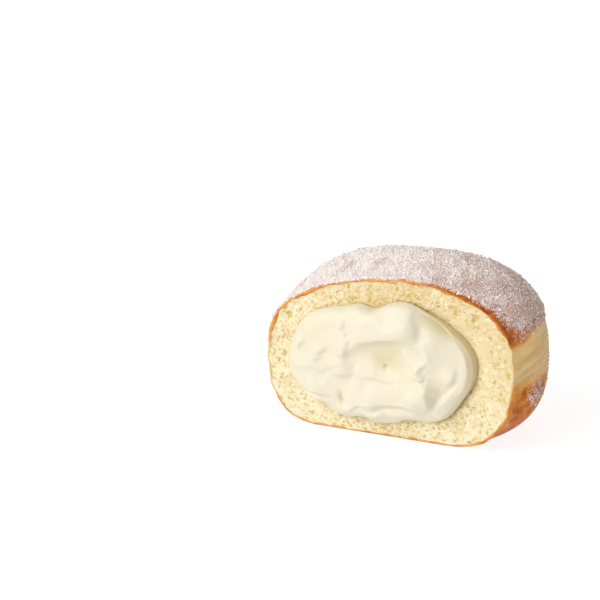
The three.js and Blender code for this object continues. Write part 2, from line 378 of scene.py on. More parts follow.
class WaistSizes(bpy.types.PropertyGroup):
    """Where the pale waist and the coat of sugar lie."""

    top: length("Top", "Upper edge of the pale waist in the cut", 30)
    foot: length("Foot", "Lower edge of the pale waist in the cut", 15.2)
    lean: ratio("Lean", "Rise of the upper edge towards the right", 0.09)
    foot_lean: ratio("Foot lean", "Rise of the lower edge towards the right", 0.16)
    rise: length("Rise", "How far the upper edge rises behind the cut", 3.5)
    rise_reach: length("Rise reach", "Distance from the cut over which it rises", 8)
    ragged: length("Ragged", "How far the edges wander", 2.6)
    rim: length("Rim", "Bare crust along the cut", 0.7)
    thinning: length("Thinning", "Height over which the sugar thins towards the waist", 6)
    coat: length("Coat", "Thickness of the coat of sugar", 0.75)
    wrinkle: length("Wrinkle", "Depth of the wrinkles beside the cut", 0.65)


class HollowSizes(bpy.types.PropertyGroup):
    """Sizes of the hollow that holds the cream."""

    x: length("Middle", "Middle along the cut", -4)
    z: length("Middle height", "Height of the middle", 23.6)
    half_width: length("Half width", "Half of the mouth's width", 30.9)
    half_height: length("Half height", "Half of the mouth's height", 18)
    depth: length("Depth", "From the cut to the deepest point", 27)
    power: ratio("Power", "Squareness of the mouth", 2.3)
    first_turn: ratio("First turn", "Turn at which the round back begins", 0.2)
    mouth_round: length("Mouth round", "Rounding of the mouth", 1)
    dip_width: length("Dip width", "Width of the crumb's dip on the right", 4.6)
    dip_depth: length("Dip depth", "Depth of the crumb's dip on the right", 1.2)
    dip_angle: ratio("Dip angle", "Direction of the dip's middle", 0.15)
    dip_spread: ratio("Dip spread", "How far round the dip reaches", 0.62)


class CreamSizes(bpy.types.PropertyGroup):
    """Sizes of the cream."""

    gap: length("Gap", "Gap between cream and crumb", 0.08)
    bite: length("Bite", "How far its flank reaches into the crumb", 0.1)
    overlap: length("Overlap", "How far the cream lies over the crumb", 0.8)
    drawn_back: ratio("Drawn back", "Share by which the overlap shrinks on the right", 2)
    sink: length("Sink", "How far its edge sinks into the groove on the right", 0.2)
    sink_power: ratio("Sink power", "How close to the edge it sinks", 6)
    bulge: length("Bulge", "How far the cream stands out of the cut", 4.0)
    flat_right: ratio("Flat right", "Share by which the bulge is flatter on the right", 0.62)
    rim: length("Rim", "Height of the cream's edge", 0.3)
    bulge_power: ratio("Bulge power", "Flatness of the bulge", 9)
    bulge_round: ratio("Bulge round", "Roundness of the cream's edge", 0.6)
    fold_fade: ratio("Fold fade", "Share of the front over which folds fade to the edge", 0.035)
    warp: length("Warp", "How far the folds wander", 1.0)
    warp_length: length("Warp length", "Length over which the folds wander", 4.5)
    ripple: length("Ripple", "Height of the soft ripples", 0.7)
    ripple_length: length("Ripple length", "Length of the soft ripples", 5)
    crease: length("Crease", "Height of the fine creases", 0.13)
    crease_length: length("Crease length", "Length of the longest fine creases", 9)


class GrainSizes(bpy.types.PropertyGroup):
    """Sizes and numbers of the sugar's grains and of the crumb's bubbles."""

    grains: number("Grains", "Number of fine grains", 24500)
    grain: length("Grain", "Size of a fine grain", 0.4)
    crystals: number("Crystals", "Number of coarse crystals", 16000)
    crystal: length("Crystal", "Size of a coarse crystal", 0.33)
    clumps: number("Clumps", "Number of clumps", 4500)
    clump: length("Clump", "Size of a clump", 0.85)
    bubbles: number("Bubbles", "Number of small bubbles in the crumb", 14000)
    bubble: length("Bubble", "Radius of a small bubble", 0.2)
    holes: number("Holes", "Number of larger bubbles in the crumb", 800)
    hole: length("Hole", "Radius of a larger bubble", 0.33)
    caves: number("Caves", "Number of the largest bubbles in the crumb", 45)
    cave: length("Cave", "Radius of one of the largest bubbles", 0.44)


class FoodColors(bpy.types.PropertyGroup):
    """Colours of the food."""

    crust: color("Crust", "Browned crust", 198, 106, 34)
    crust_dark: color("Dark crust", "Darkest blotches of the crust", 160, 74, 18)
    crust_light: color("Light crust", "Crust where it begins to brown", 228, 168, 84)
    waist: color("Waist", "Pale waist", 232, 198, 140)
    waist_deep: color("Deep waist", "Streaks in the pale waist", 222, 184, 126)
    crumb: color("Crumb", "Crumb at the cut", 236, 224, 190)
    # Darker crumb: in random patches, more of it towards the top and the right, less at the bottom as painted
    # light
    crumb_deep: color("Deep crumb", "Dense patches of the crumb", 224, 203, 158)
    # Painted shade: the colour laid inside the crumb's bubbles, more of it the deeper they are
    pore_and_shade: color("Pore", "Depth of the crumb's bubbles", 206, 178, 104)
    cream: color("Cream", "Whipped cream", 223, 215, 191)
    # Painted shade: deeper yellow laid in the cream's recesses and on its edge beside the groove
    cream_shade: color("Deep cream", "Whipped cream in its recesses", 214, 199, 158)
    sugar: color("Sugar", "Sugar", 246, 239, 235)
    sugar_thin: color("Thin sugar", "Sugar where the crust shows through", 204, 176, 162)


class StageSettings(bpy.types.PropertyGroup):
    """Camera, light and floor."""

    azimuth: angle("Azimuth", "Camera's turn to the right", 30)
    elevation: angle("Elevation", "Camera's height angle", 14)
    distance: length("Distance", "Camera to the aim's plane", 434.859)
    aim_right: length("Aim right", "Aim, to the right of the cut's foot", -27.849)
    aim_up: length("Aim up", "Aim, above the cut's foot", 43.212)
    roll: angle("Roll", "Camera's turn about its line of sight", 1.364)
    lens: ratio("Lens", "Focal length in millimetres on a 36 mm wide sensor", 84)
    sky: ratio("Sky", "Strength of the even light from all around", 0.56)
    sun: ratio("Sun", "Strength of the soft light from the front left", 2.1)
    sun_angle: angle("Softness", "Angle over which the soft light spreads", 50)
    bounce: ratio("Bounce", "Strength of the light that comes back from the ground", 1.35)
    bounce_angle: angle("Bounce softness", "Angle over which the ground's light spreads", 140)
    floor_radius: length("Floor radius", "Radius of the floor", 8000)
    floor: color("Floor", "Floor", 120, 120, 120)
    floor_glow: ratio("Floor glow", "White light that the floor gives off", 0.86)


def clamp01(values):
    """Values held between 0 and 1."""
    return np.clip(values, 0, 1)


def smooth(start, end, values):
    """Even step from 0 at start to 1 at end."""
    t = clamp01((values - start) / (end - start))
    return t * t * (3 - 2 * t)


def cell_random(cells, seed):
    """A fixed random number from 0 to 1 for each whole-numbered cell."""
    mixed = (cells @ np.array(HASH_STEPS) + seed * HASH_SEED_STEP) & HASH_MASK
    for shift in HASH_SHIFTS:
        mixed = ((mixed ^ (mixed >> shift)) * HASH_FACTOR) & HASH_MASK
    return mixed / HASH_MASK


def lump_noise(points, size, seed):
    """Smooth noise from 0 to 1 whose lumps are about as wide as size."""
    flat = points.reshape(-1, 3) / size
    cells = np.floor(flat)
    blend = flat - cells
    blend = blend * blend * (3 - 2 * blend)
    cells = cells.astype(np.int64)
    total = np.zeros(len(flat))
    for corner in itertools.product((0, 1), repeat=3):
        weight = np.prod(np.where(corner, blend, 1 - blend), axis=1)
        total += weight * cell_random(cells + np.array(corner), seed)
    return total.reshape(points.shape[:-1])


def layered_noise(points, layers, start=0):
    """Sum of noises, each with its share, length and seed."""
    total = start
    for share, size, seed in layers:
        total = total + share * lump_noise(points, size, seed)
    return total


def level_noise(points, layers):
    """Sum of noises that is 0 on average."""
    return layered_noise(points, layers) - sum(share for share, _, _ in layers) / 2


def angles(sides):
    """Even turns about the axis of the cut."""
    return np.arange(sides) * (2 * math.pi / sides)


def crust_points(bun, around, along):
    """Points of the skin: around turns about the axis of the cut, along runs from the cut to the back."""
    around, along = np.broadcast_arrays(around, along)
    dx = np.cos(around) * np.cos(along)
    dy = np.sin(along)
    dz = np.sin(around) * np.cos(along)
    rise = np.where(dz >= 0, bun.crown_rise, bun.base_drop)
    power = np.where(dz >= 0, bun.crown_power, bun.base_power)
    plan = np.abs(dx / bun.half_width) ** bun.plan_power + np.abs(dy / bun.depth) ** bun.plan_power
    plan = plan ** (1 / bun.plan_power)
    radius = (plan ** power + np.abs(dz / rise) ** power) ** (-1 / power)
    x, y, z = dx * radius, dy * radius, dz * radius
    crown = clamp01(z / bun.crown_rise)
    press = np.exp(-((y / bun.press_reach) ** 2))
    lump = np.sin(x / bun.lump_length + LUMP_PHASES[0]) * np.sin(y / bun.lump_length + LUMP_PHASES[1])
    x = x * (1 - np.where(x > 0, bun.press_right, 0) * press)
    z = z + crown * (bun.lump_height * lump - bun.press_top * press) + bun.lean * x + bun.waist_height
    spots = np.stack([x, y, z], axis=-1)
    near = np.exp(-((y / bun.torn_length) ** 2))
    torn = bun.torn * (lump_noise(spots, bun.torn_length, TORN_SEED) - 0.5) * near
    x = x + torn * np.cos(around)
    z = z + torn * np.sin(around)
    settled = (z + np.hypot(z, bun.ground_round)) / 2 - bun.ground_round / 4
    return np.stack([x, y, np.maximum(settled, 0)], axis=-1)


def shrunk(bun, points, crusts):
    """Points drawn in towards the bun's middle by the thickness of some crusts."""
    middle = np.array([0, 0, bun.waist_height])
    shrink = 1 - crusts * bun.crust / bun.half_width
    return (points - middle) * shrink + middle


def grid_normals(points):
    """Outward normals of a grid of rings by sides."""
    across = np.roll(points, -1, axis=1) - np.roll(points, 1, axis=1)
    down = np.gradient(points, axis=0)
    normals = np.cross(across, down)
    lengths = np.linalg.norm(normals, axis=-1, keepdims=True)
    return normals / np.maximum(lengths, TINY)


def cut_outline(bun, sides):
    """Inner edge of the crust in the cut, uneven in its distance from the skin."""
    ring = crust_points(bun, angles(sides), 0.0)
    inset = bun.crust * (INSET_LEAST + INSET_SPREAD * lump_noise(ring, INSET_LENGTH, INSET_SEED))
    inset = inset * (1 + bun.crust_left * towards(THICK_TURN, THICK_SPREAD, angles(sides)))
    run = np.roll(ring, -1, axis=0) - np.roll(ring, 1, axis=0)
    inward = np.stack([-run[:, 2], np.zeros(sides), run[:, 0]], axis=1)
    inward /= np.maximum(np.linalg.norm(inward, axis=1, keepdims=True), TINY)
    return ring + inward * inset[:, None]


def towards(direction, spread, around):
    """1 in a direction, falling to 0 on both sides of it over a spread."""
    turn = np.arctan2(np.sin(around - direction), np.cos(around - direction))
    return np.exp(-((turn / spread) ** 2))


def right_side(hollow, around):
    """1 in the middle of the dip on the right, falling to 0 away from it."""
    return towards(hollow.dip_angle, hollow.dip_spread, around)


def lobes(around):
    """How far the outline stands out of its plain oval."""
    total = 0
    for turn, spread, out in LOBES:
        total = total + out * MM * towards(math.radians(turn), math.radians(spread), around)
    return total


def hollow_points(bun, hollow, around, margin, scale, y):
    """Outline of the hollow, grown by a margin and scaled about its middle, at depth y."""
    dx, dz = np.cos(around), np.sin(around)
    wide = np.abs(dx / (hollow.half_width + margin)) ** hollow.power
    tall = np.abs(dz / (hollow.half_height + margin)) ** hollow.power
    oval = (wide + tall) ** (-1 / hollow.power)
    radius = (oval + lobes(around) * scale ** LOBE_FADE) * scale
    x = dx * radius
    z = hollow.z + dz * radius + bun.lean * x
    return np.stack(np.broadcast_arrays(hollow.x + x, y, z), axis=-1)


def hollow_turn(hollow, share):
    """Turn from the mouth of the hollow towards its deepest point."""
    return hollow.first_turn + (math.pi / 2 - hollow.first_turn) * share


def loft_faces(rings, sides):
    """Faces of a closed skin: a pole, then rings of sides, then a pole."""
    side = np.arange(sides)
    following = (side + 1) % sides
    first = np.stack([np.zeros(sides, int), 1 + following, 1 + side], axis=1)
    start = 1 + np.arange(rings - 1)[:, None] * sides
    ahead = start + sides
    quads = np.stack([start + side, start + following, ahead + following, ahead + side], axis=-1)
    top = 1 + (rings - 1) * sides
    last = np.stack([top + side, top + following, np.full(sides, 1 + rings * sides)], axis=1)
    return first.tolist() + quads.reshape(-1, 4).tolist() + last.tolist()


def add_piece(name, points, faces, finish, rounded=True):
    """A mesh piece, placed from the cut's frame into the part's frame, that rides on the part."""
    mesh = bpy.data.meshes.new(name)
    mesh.from_pydata((points.reshape(-1, 3) + np.array(CUT)).tolist(), [], faces)
    mesh.polygons.foreach_set("use_smooth", [rounded] * len(mesh.polygons))
    mesh.materials.append(finish)
    piece = bpy.data.objects.new(name, mesh)
    bpy.context.scene.collection.objects.link(piece)
    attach(piece, "root")
    return piece


def add_loft(name, first, rings, last, finish):
    """A closed piece from a pole over rings to another pole."""
    points = np.concatenate([first[None], rings.reshape(-1, 3), last[None]])
    return add_piece(name, points, loft_faces(rings.shape[0], rings.shape[1]), finish)


def add_values(piece, name, values):
    """Numbers for each point of a piece, for its material to read."""
    data = piece.data.attributes.new(name, "FLOAT", "POINT").data
    data.foreach_set("value", np.asarray(values, np.float32).ravel())


def waist_lines(waist, points):
    """Heights above the waist's upper edge and below its lower edge, and how far both edges wander."""
    x, y, z = points[..., 0], points[..., 1], points[..., 2]
    wander = waist.ragged * level_noise(points, WANDER_LAYERS)
    rise = waist.rise * (1 - np.exp(-((y / waist.rise_reach) ** 2)))
    climb = z - waist.top - waist.lean * x - rise + wander
    drop = waist.foot + waist.foot_lean * x + FOOT_RISE * rise + wander - z
    return climb, drop, wander


def browning(points, climb, drop):
    """Browning of the skin, from 0 to 1."""
    x, y = points[..., 0], points[..., 1]
    low = smooth(*LOW_EDGE, drop) * (LOW_BROWN + LOW_BROWN_BEHIND * smooth(0, LOW_BROWN_REACH, y))
    high = smooth(*HIGH_EDGE, climb)
    golden = (1 - smooth(0, GOLDEN_DEPTH, y)) * (1 - smooth(0, GOLDEN_WIDTH, x))
    return np.maximum(high * (1 - GOLDEN * golden), low)


def dusting(points):
    """Thin sugar low on the right and along the right side, from 0 to 1."""
    x, y = points[..., 0], points[..., 1]
    away = points - np.array(DUST_MIDDLE) * MM
    patch = np.exp(-(np.sum(away ** 2, axis=-1) / DUST_RADIUS ** 2))
    patch = DUST_COVER * smooth(*DUST_EDGE, patch)
    return np.maximum(patch, SIDE_DUST_COVER * smooth(*SIDE_DUST_X, x) * smooth(*SIDE_DUST_Y, y))


def sugar_cover(waist, points, climb, wander):
    """Cover of the skin with sugar, from 0 to 1."""
    x, y = points[..., 0], points[..., 1]
    aside = smooth(*ASIDE, x)
    cover = smooth(-MM * (1 + LOWER_ASIDE * aside), waist.thinning, climb)
    rim_end = waist.rim * (RIM_END + RIM_END_ASIDE * aside)
    cover = cover * smooth(RIM_START * waist.rim, rim_end, y + RIM_WANDER * wander)
    beside = smooth(*BESIDE_X, x) * (1 - smooth(*BESIDE_Y, y))
    cover = cover * (1 - BESIDE_BARE * beside * (1 - smooth(*BESIDE_CLIMB, climb)))
    return np.maximum(cover, dusting(points))


def thinness(points):
    """Thinness of the sugar, from 0 to 1."""
    uneven = level_noise(points, THIN_LAYERS)
    return clamp01(THIN_LEAST + THIN_RIGHT * smooth(*THIN_SIDE, points[..., 0]) + THIN_UNEVEN * uneven)


class Wire:
    """A socket of a finish. Arithmetic on it adds Math nodes."""

    def __init__(self, finish, socket):
        self.finish = finish
        self.socket = socket

    def math(self, operation, first, second):
        return self.finish.node("ShaderNodeMath", {"operation": operation}, {0: first, 1: second})

    def __add__(self, other):
        return self.math("ADD", self, other)

    def __radd__(self, other):
        return self.math("ADD", other, self)

    def __sub__(self, other):
        return self.math("SUBTRACT", self, other)

    def __rsub__(self, other):
        return self.math("SUBTRACT", other, self)

    def __mul__(self, other):
        return self.math("MULTIPLY", self, other)

    def __rmul__(self, other):
        return self.math("MULTIPLY", other, self)

    def step(self, start, end):
        """Even step from 0 at start to 1 at end."""
        settings = {"interpolation_type": "SMOOTHSTEP"}
        return self.finish.node("ShaderNodeMapRange", settings, {0: self, 1: start, 2: end})


class Finish:
    """One procedural material and the nodes that its expressions add."""

    def __init__(self, name):
        self.material = bpy.data.materials.new(name)
        self.material.use_nodes = True
        self.tree = self.material.node_tree
        self.tree.nodes.clear()
        self.place = self.node("ShaderNodeTexCoord", output="Object")

    def node(self, kind, settings=None, sockets=None, output=0):
        """Adds a node, sets its settings first and then its sockets, and gives one of its outputs."""
        made = self.tree.nodes.new(kind)
        for name, value in (settings or {}).items():
            setattr(made, name, value)
        for name, value in (sockets or {}).items():
            if isinstance(value, Wire):
                self.tree.links.new(value.socket, made.inputs[name])
            else:
                made.inputs[name].default_value = value
        return Wire(self, made.outputs[output]) if made.outputs else None

    def noise(self, size, detail=2.0, rough=0.5, place=None):
        """Noise whose lumps are about as wide as size."""
        sockets = {"Vector": place or self.place, "Scale": 1 / size, "Detail": detail, "Roughness": rough}
        return self.node("ShaderNodeTexNoise", {}, sockets)

    def value(self, name):
        """The numbers kept with a piece's points."""
        return self.node("ShaderNodeAttribute", {"attribute_name": name}, output="Fac")

    def mix(self, share, first, second):
        """Blend of two colours."""
        return self.node("ShaderNodeMix", {"data_type": "RGBA"}, {0: share, 6: first, 7: second}, output=2)

    def bump(self, height, distance, strength=1.0, normal=None):
        sockets = {"Height": height, "Distance": distance, "Strength": strength}
        if normal is not None:
            sockets["Normal"] = normal
        return self.node("ShaderNodeBump", {}, sockets)

    def surface(self, **sockets):
        """The shader, with its sockets named by words joined with underscores."""
        named = {name.replace("_", " "): value for name, value in sockets.items()}
        shader = self.node("ShaderNodeBsdfPrincipled", {}, named)
        self.node("ShaderNodeOutputMaterial", {}, {"Surface": shader})
        return self.material


def linear(shown):
    """A screen colour as the shader's linear colour, by the sRGB curve."""
    channels = []
    for channel in shown:
        low = channel / 12.92
        high = ((channel + 0.055) / 1.055) ** 2.4
        channels.append(low if channel <= 0.04045 else high)
    return (*channels, 1.0)


def crust_finish(colors):
    """Browned crust, pale waist and the coat of sugar."""
    finish = Finish("crust")
    brown = finish.value("brown")
    sugar = finish.value("sugar")
    thin = finish.value("thin")
    blotch = finish.noise(BLOTCH_LENGTH, detail=3) - 0.5
    fine = finish.noise(SKIN_FINE_LENGTH, detail=3)
    speck = finish.noise(SPECK_LENGTH)
    wrinkle = finish.noise(SKIN_LENGTH, detail=4, rough=0.6)
    dark_blotch = finish.noise(DARK_LENGTH, detail=3, rough=0.6) - 0.5
    browned = (BROWN_SHARE * brown + blotch * BROWN_BLOTCH + (fine - 0.5) * BROWN_FINE).step(*BROWN_STEP)
    dark = (brown + dark_blotch * DARK_BLOTCH).step(*DARK_STEP)
    sockets = {0: finish.place, 1: STREAK_FLATNESS}
    flat = finish.node("ShaderNodeVectorMath", {"operation": "MULTIPLY"}, sockets)
    streak = finish.noise(STREAK_LENGTH, place=flat)
    pale = finish.mix(streak.step(*STREAK_STEP), linear(colors.waist), linear(colors.waist_deep))
    skin = finish.mix((brown * LIGHT_CRUST_GAIN).step(0, 1), pale, linear(colors.crust_light))
    skin = finish.mix(browned, skin, linear(colors.crust))
    skin = finish.mix(dark, skin, linear(colors.crust_dark))
    coated = (sugar + (speck - 0.5) * SUGAR_SPECK).step(*SUGAR_STEP)
    tinted = (thin + (fine - 0.5) * SUGAR_FINE).step(0, 1)
    white = finish.mix(tinted, linear(colors.sugar), linear(colors.sugar_thin))
    normal = finish.bump(wrinkle + SKIN_FINE_BUMP * fine + streak, distance=0.2 * MM, strength=0.6)
    normal = finish.bump(speck * coated, distance=0.3 * MM, strength=0.6, normal=normal)
    return finish.surface(
        Base_Color=finish.mix(coated, skin, white), Normal=normal,
        Roughness=CRUST_ROUGHNESS + coated * SUGAR_ROUGHNESS, Specular_IOR_Level=0.12,
        Subsurface_Weight=0.15, Subsurface_Radius=(1.0, 0.6, 0.35), Subsurface_Scale=0.8 * MM,
    )


def crumb_finish(colors):
    """Soft crumb, with painted shade that deepens its colour inside its bubbles, and painted light that makes
    it paler at the bottom.
    """
    finish = Finish("crumb")
    depth = finish.value("pore_and_shade")
    patch = finish.noise(CRUMB_PATCH_LENGTH) - 0.5
    mottle = finish.noise(CRUMB_MOTTLE_LENGTH, detail=3, rough=0.6)
    fine = finish.noise(CRUMB_FINE_LENGTH, detail=3)
    # Darker in random patches and towards the top and the right; paler at the bottom, as painted light
    tone_and_painted_light = (mottle + patch * CRUMB_PATCH + CRUMB_TONE_SHARE * finish.value("tone_and_painted_light")).step(*CRUMB_TONE_STEP)
    base = finish.mix(tone_and_painted_light, linear(colors.crumb), linear(colors.crumb_deep))
    # Painted shade inside the bubbles, by their depth
    deep = (depth + patch * PORE_SHADE_PATCH).step(*PORE_SHADE_STEP)
    return finish.surface(
        Base_Color=finish.mix(deep, base, linear(colors.pore_and_shade)), Roughness=0.75,
        Normal=finish.bump(fine, distance=0.15 * MM, strength=0.5),
        Subsurface_Weight=0.35, Subsurface_Radius=(1.0, 0.75, 0.45), Subsurface_Scale=1.2 * MM,
    )


def cream_finish(colors):
    """Smooth whipped cream with a satin sheen, and painted shade of a deeper yellow in its recesses."""
    finish = Finish("cream")
    cloud = finish.noise(CREAM_CLOUD_LENGTH) - 0.5
    fine = finish.noise(CREAM_FINE_LENGTH, detail=3)
    # Painted shade in the recesses, broken up by a soft cloud of random tone
    deep = (finish.value("recess_shade") + cloud * CREAM_CLOUD).step(*CREAM_SHADE_STEP)
    return finish.surface(
        Base_Color=finish.mix(deep, linear(colors.cream), linear(colors.cream_shade)),
        Roughness=CREAM_ROUGHNESS + fine * CREAM_FINE_ROUGHNESS,
        Normal=finish.bump(fine, distance=0.08 * MM, strength=0.35),
        Subsurface_Weight=0.3, Subsurface_Radius=(1.0, 0.8, 0.5), Subsurface_Scale=0.8 * MM,
    )


def sugar_finish(colors):
    """White sugar, a little different from grain to grain."""
    finish = Finish("sugar")
    tint = finish.value("tint")
    return finish.surface(
        Base_Color=finish.mix(tint, linear(colors.sugar), linear(colors.sugar_thin)),
        Roughness=GRAIN_ROUGHNESS + tint * TINT_ROUGHNESS,
        Subsurface_Weight=0.2, Subsurface_Radius=(1.0, 1.0, 1.0), Subsurface_Scale=0.3 * MM,
    )


def floor_finish(stage):
    """Plain pale floor."""
    finish = Finish("floor")
    return finish.surface(
        Base_Color=linear(stage.floor), Roughness=0.9,
        Emission_Color=(1, 1, 1, 1), Emission_Strength=stage.floor_glow,
    )


def wrinkles(points):
    """1 along the wrinkles of the waist beside the cut, falling to 0 on both sides of them."""
    total = np.zeros(points.shape[:-1])
    for low, high, wide in WRINKLES:
        start, end = np.array(low) * MM, np.array(high) * MM
        run = end - start
        spots = points[..., 1:] - start
        t = clamp01(spots @ run / (run @ run))
        distance = np.linalg.norm(spots - t[..., None] * run, axis=-1)
        ends = np.sin(math.pi * (WRINKLE_END + (1 - 2 * WRINKLE_END) * t))
        total += ends * np.exp(-((distance / (wide * MM)) ** 2))
    return total * smooth(*WRINKLE_SIDE, points[..., 0])


def crust_grid(bun, waist):
    """Points, normals, browning, sugar and its thinness of the skin, from the back to the cut."""
    along = np.linspace(math.pi / 2, 0, CRUST_RINGS + 1)[1:, None]
    points = crust_points(bun, angles(CRUST_SIDES)[None], along)
    normals = grid_normals(points)
    climb, drop, wander = waist_lines(waist, points)
    cover = sugar_cover(waist, points, climb, wander)
    patchy = layered_noise(points, PATCH_LAYERS)
    sugar = clamp01(cover + PATCH_CONTRAST * (patchy - 0.5) * smooth(0, PATCH_FADE, cover))
    lumps = layered_noise(points, LUMP_LAYERS, 0.5 * patchy)
    lift = waist.coat * smooth(*COAT_EDGE, sugar) * (COAT_LEAST + COAT_LUMPS * lumps)
    lift = lift - waist.wrinkle * wrinkles(points)
    return points + normals * lift[..., None], normals, browning(points, climb, drop), sugar, thinness(points)


class DOUGHNUT_OT_crust(bpy.types.Operator):
    """Builds the browned crust with its pale waist and its coat of sugar"""

    bl_idname = "doughnut.crust"
    bl_label = "Crust"

    def execute(self, context):
        bun = context.scene.doughnut_bun
        points, _, brown, sugar, thin = crust_grid(bun, context.scene.doughnut_waist)
        along = np.linspace(0, math.pi / 2, INNER_RINGS + 1)[1:-1, None]
        inner = shrunk(bun, crust_points(bun, angles(CRUST_SIDES)[None], along), 1)
        edge = cut_outline(bun, CRUST_SIDES)[None]
        rings = np.concatenate([points, edge, inner])
        back = crust_points(bun, 0.0, math.pi / 2)
        finish = crust_finish(context.scene.doughnut_colors)
        piece = add_loft("crust", back, rings, shrunk(bun, back, 1), finish)
        bare = np.zeros((INNER_RINGS, CRUST_SIDES))
        ends = bare.copy()
        uneven = lump_noise(edge[0], RIM_BROWN_LENGTH, RIM_SEED)
        ends[0] = brown[-1] * (RIM_BROWN + RIM_BROWN_SPREAD * uneven)
        for name, skin, inside in (("brown", brown, ends), ("sugar", sugar, bare), ("thin", thin, bare)):
            add_values(piece, name, np.concatenate([skin[0, :1], skin.ravel(), inside.ravel(), [0.0]]))
        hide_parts("dough")
        return {"FINISHED"}


def bubble_depth(points, weights, count, radius, seed):
    """Depth that spherical bubbles cut into a flat field of points, more of them where weights are high."""
    tree = KDTree(len(points))
    for index, point in enumerate(points):
        tree.insert((point[0], 0, point[2]), index)
    tree.balance()
    random = np.random.default_rng(seed)
    picks = random.choice(len(points), count, p=weights / weights.sum())
    sizes = radius * random.lognormal(0, BUBBLE_SPREAD, count)
    offsets = random.uniform(*BUBBLE_OFFSETS, count)
    depth = np.zeros(len(points))
    for pick, size, offset in zip(picks, sizes, offsets):
        middle = Vector((points[pick][0], 0, points[pick][2]))
        for _, index, distance in tree.find_range(middle, size * math.sqrt(1 - offset * offset)):
            reach = math.sqrt(max(size * size - distance * distance, 0)) - offset * size
            depth[index] = max(depth[index], reach)
    return depth


def crumb_face(bun, hollow, around, right):
    """Rings of the cut face, from the crust to the hollow's mouth, with the dip on the right."""
    width = hollow.mouth_round + hollow.dip_width * right
    depth = hollow.mouth_round + hollow.dip_depth * right
    mouth = hollow_points(bun, hollow, around, width, 1, 0)
    share = np.linspace(0, 1, CRUMB_RINGS)[:, None, None]
    face = cut_outline(bun, CRUMB_SIDES)[None] * (1 - share) + mouth[None] * share
    dips = []
    for step in np.linspace(0, 1, MOUTH_RINGS + 1)[1:]:
        dips.append(hollow_points(bun, hollow, around, width * (1 - step), 1, depth * step * step))
    return np.concatenate([face, np.stack(dips)])


def warped(flat):
    """Points of the cut face, shifted a little so that the bubbles come out uneven."""
    aside, up = (lump_noise(flat, PORE_WARP_LENGTH, seed) - 0.5 for seed in PORE_SEEDS)
    return flat + PORE_WARP * np.stack([aside, 0 * aside, up], axis=1)


def pore_depth(flat, grains):
    """Depth of the small bubbles, the holes and the few caves of the cut face."""
    even = np.ones(len(flat))
    upper_right = smooth(*CAVE_X, flat[:, 0]) * smooth(*CAVE_Z, flat[:, 2])
    small = bubble_depth(flat, even, grains.bubbles, grains.bubble, BUBBLE_SEED)
    holes = bubble_depth(flat, even, grains.holes, grains.hole, BUBBLE_SEED + 1)
    caves = bubble_depth(flat, CAVE_LEAST + upper_right, grains.caves, grains.cave, BUBBLE_SEED + 2)
    return np.maximum(np.maximum(small, HOLE_DEPTH * holes), CAVE_DEPTH * caves)


class DOUGHNUT_OT_crumb(bpy.types.Operator):
    """Builds the crumb with the open bubbles of its cut face"""

    bl_idname = "doughnut.crumb"
    bl_label = "Crumb"

    def execute(self, context):
        scene = context.scene
        bun, hollow = scene.doughnut_bun, scene.doughnut_hollow
        around = angles(CRUMB_SIDES)
        right = right_side(hollow, around)
        front = crumb_face(bun, hollow, around, right)
        flat = warped(front.reshape(-1, 3))
        pore_and_shade = pore_depth(flat, scene.doughnut_grains)
        swell = sum(height * (lump_noise(flat, size, seed) - 0.5) for height, size, seed in SWELL_LAYERS)
        lift = (pore_and_shade + swell).reshape(front.shape[:2])
        edge = np.minimum(np.arange(len(front)) / EDGE_RINGS, 1)[:, None]
        front[..., 1] += PORE_RELIEF * lift * edge
        turns = [hollow_turn(hollow, ring / HOLLOW_RINGS) for ring in range(HOLLOW_RINGS)]
        deep = [hollow_points(bun, hollow, around, 0, math.cos(t), hollow.depth * math.sin(t)) for t in turns]
        along = np.linspace(math.pi / 2, 0, INNER_RINGS + 1)[1:-1, None]
        behind = shrunk(bun, crust_points(bun, around[None], along), 2)
        rings = np.concatenate([behind, front, np.stack(deep)])
        back = shrunk(bun, crust_points(bun, 0.0, math.pi / 2), 2)
        deepest = np.array([hollow.x, hollow.depth, hollow.z])
        piece = add_loft("crumb", back, rings, deepest, crumb_finish(scene.doughnut_colors))
        values = np.zeros(rings.shape[:2])
        # Painted shade inside the bubbles: their depth, for the finish to read
        values[len(behind):len(behind) + len(front)] = clamp01(pore_and_shade / PORE_SHADE_DEPTH).reshape(front.shape[:2])
        add_values(piece, "pore_and_shade", np.concatenate([[0.0], values.ravel(), [0.0]]))
        # Darker towards the top and the dip on the right; paler at the bottom, painted light where the cream
        # shades the crumb
        tone = right + DARKER_TOP * towards(math.pi / 2, DARKER_TOP_SPREAD, around)
        tone = tone - towards(-math.pi / 2, PAINTED_LIGHT_BOTTOM_SPREAD, around)
        tone_and_painted_light = np.broadcast_to(tone, rings.shape[:2])
        add_values(piece, "tone_and_painted_light", np.concatenate([[0.0], tone_and_painted_light.ravel(), [0.0]]))
        return {"FINISHED"}


def fold_path(path):
    """Points along the curve through three points."""
    t = np.linspace(0, 1, PATH_STEPS + 1)[:, None]
    first, second, third = (np.array(point) * MM for point in path)
    return (1 - t) * (1 - 2 * t) * first + 4 * t * (1 - t) * second + t * (2 * t - 1) * third


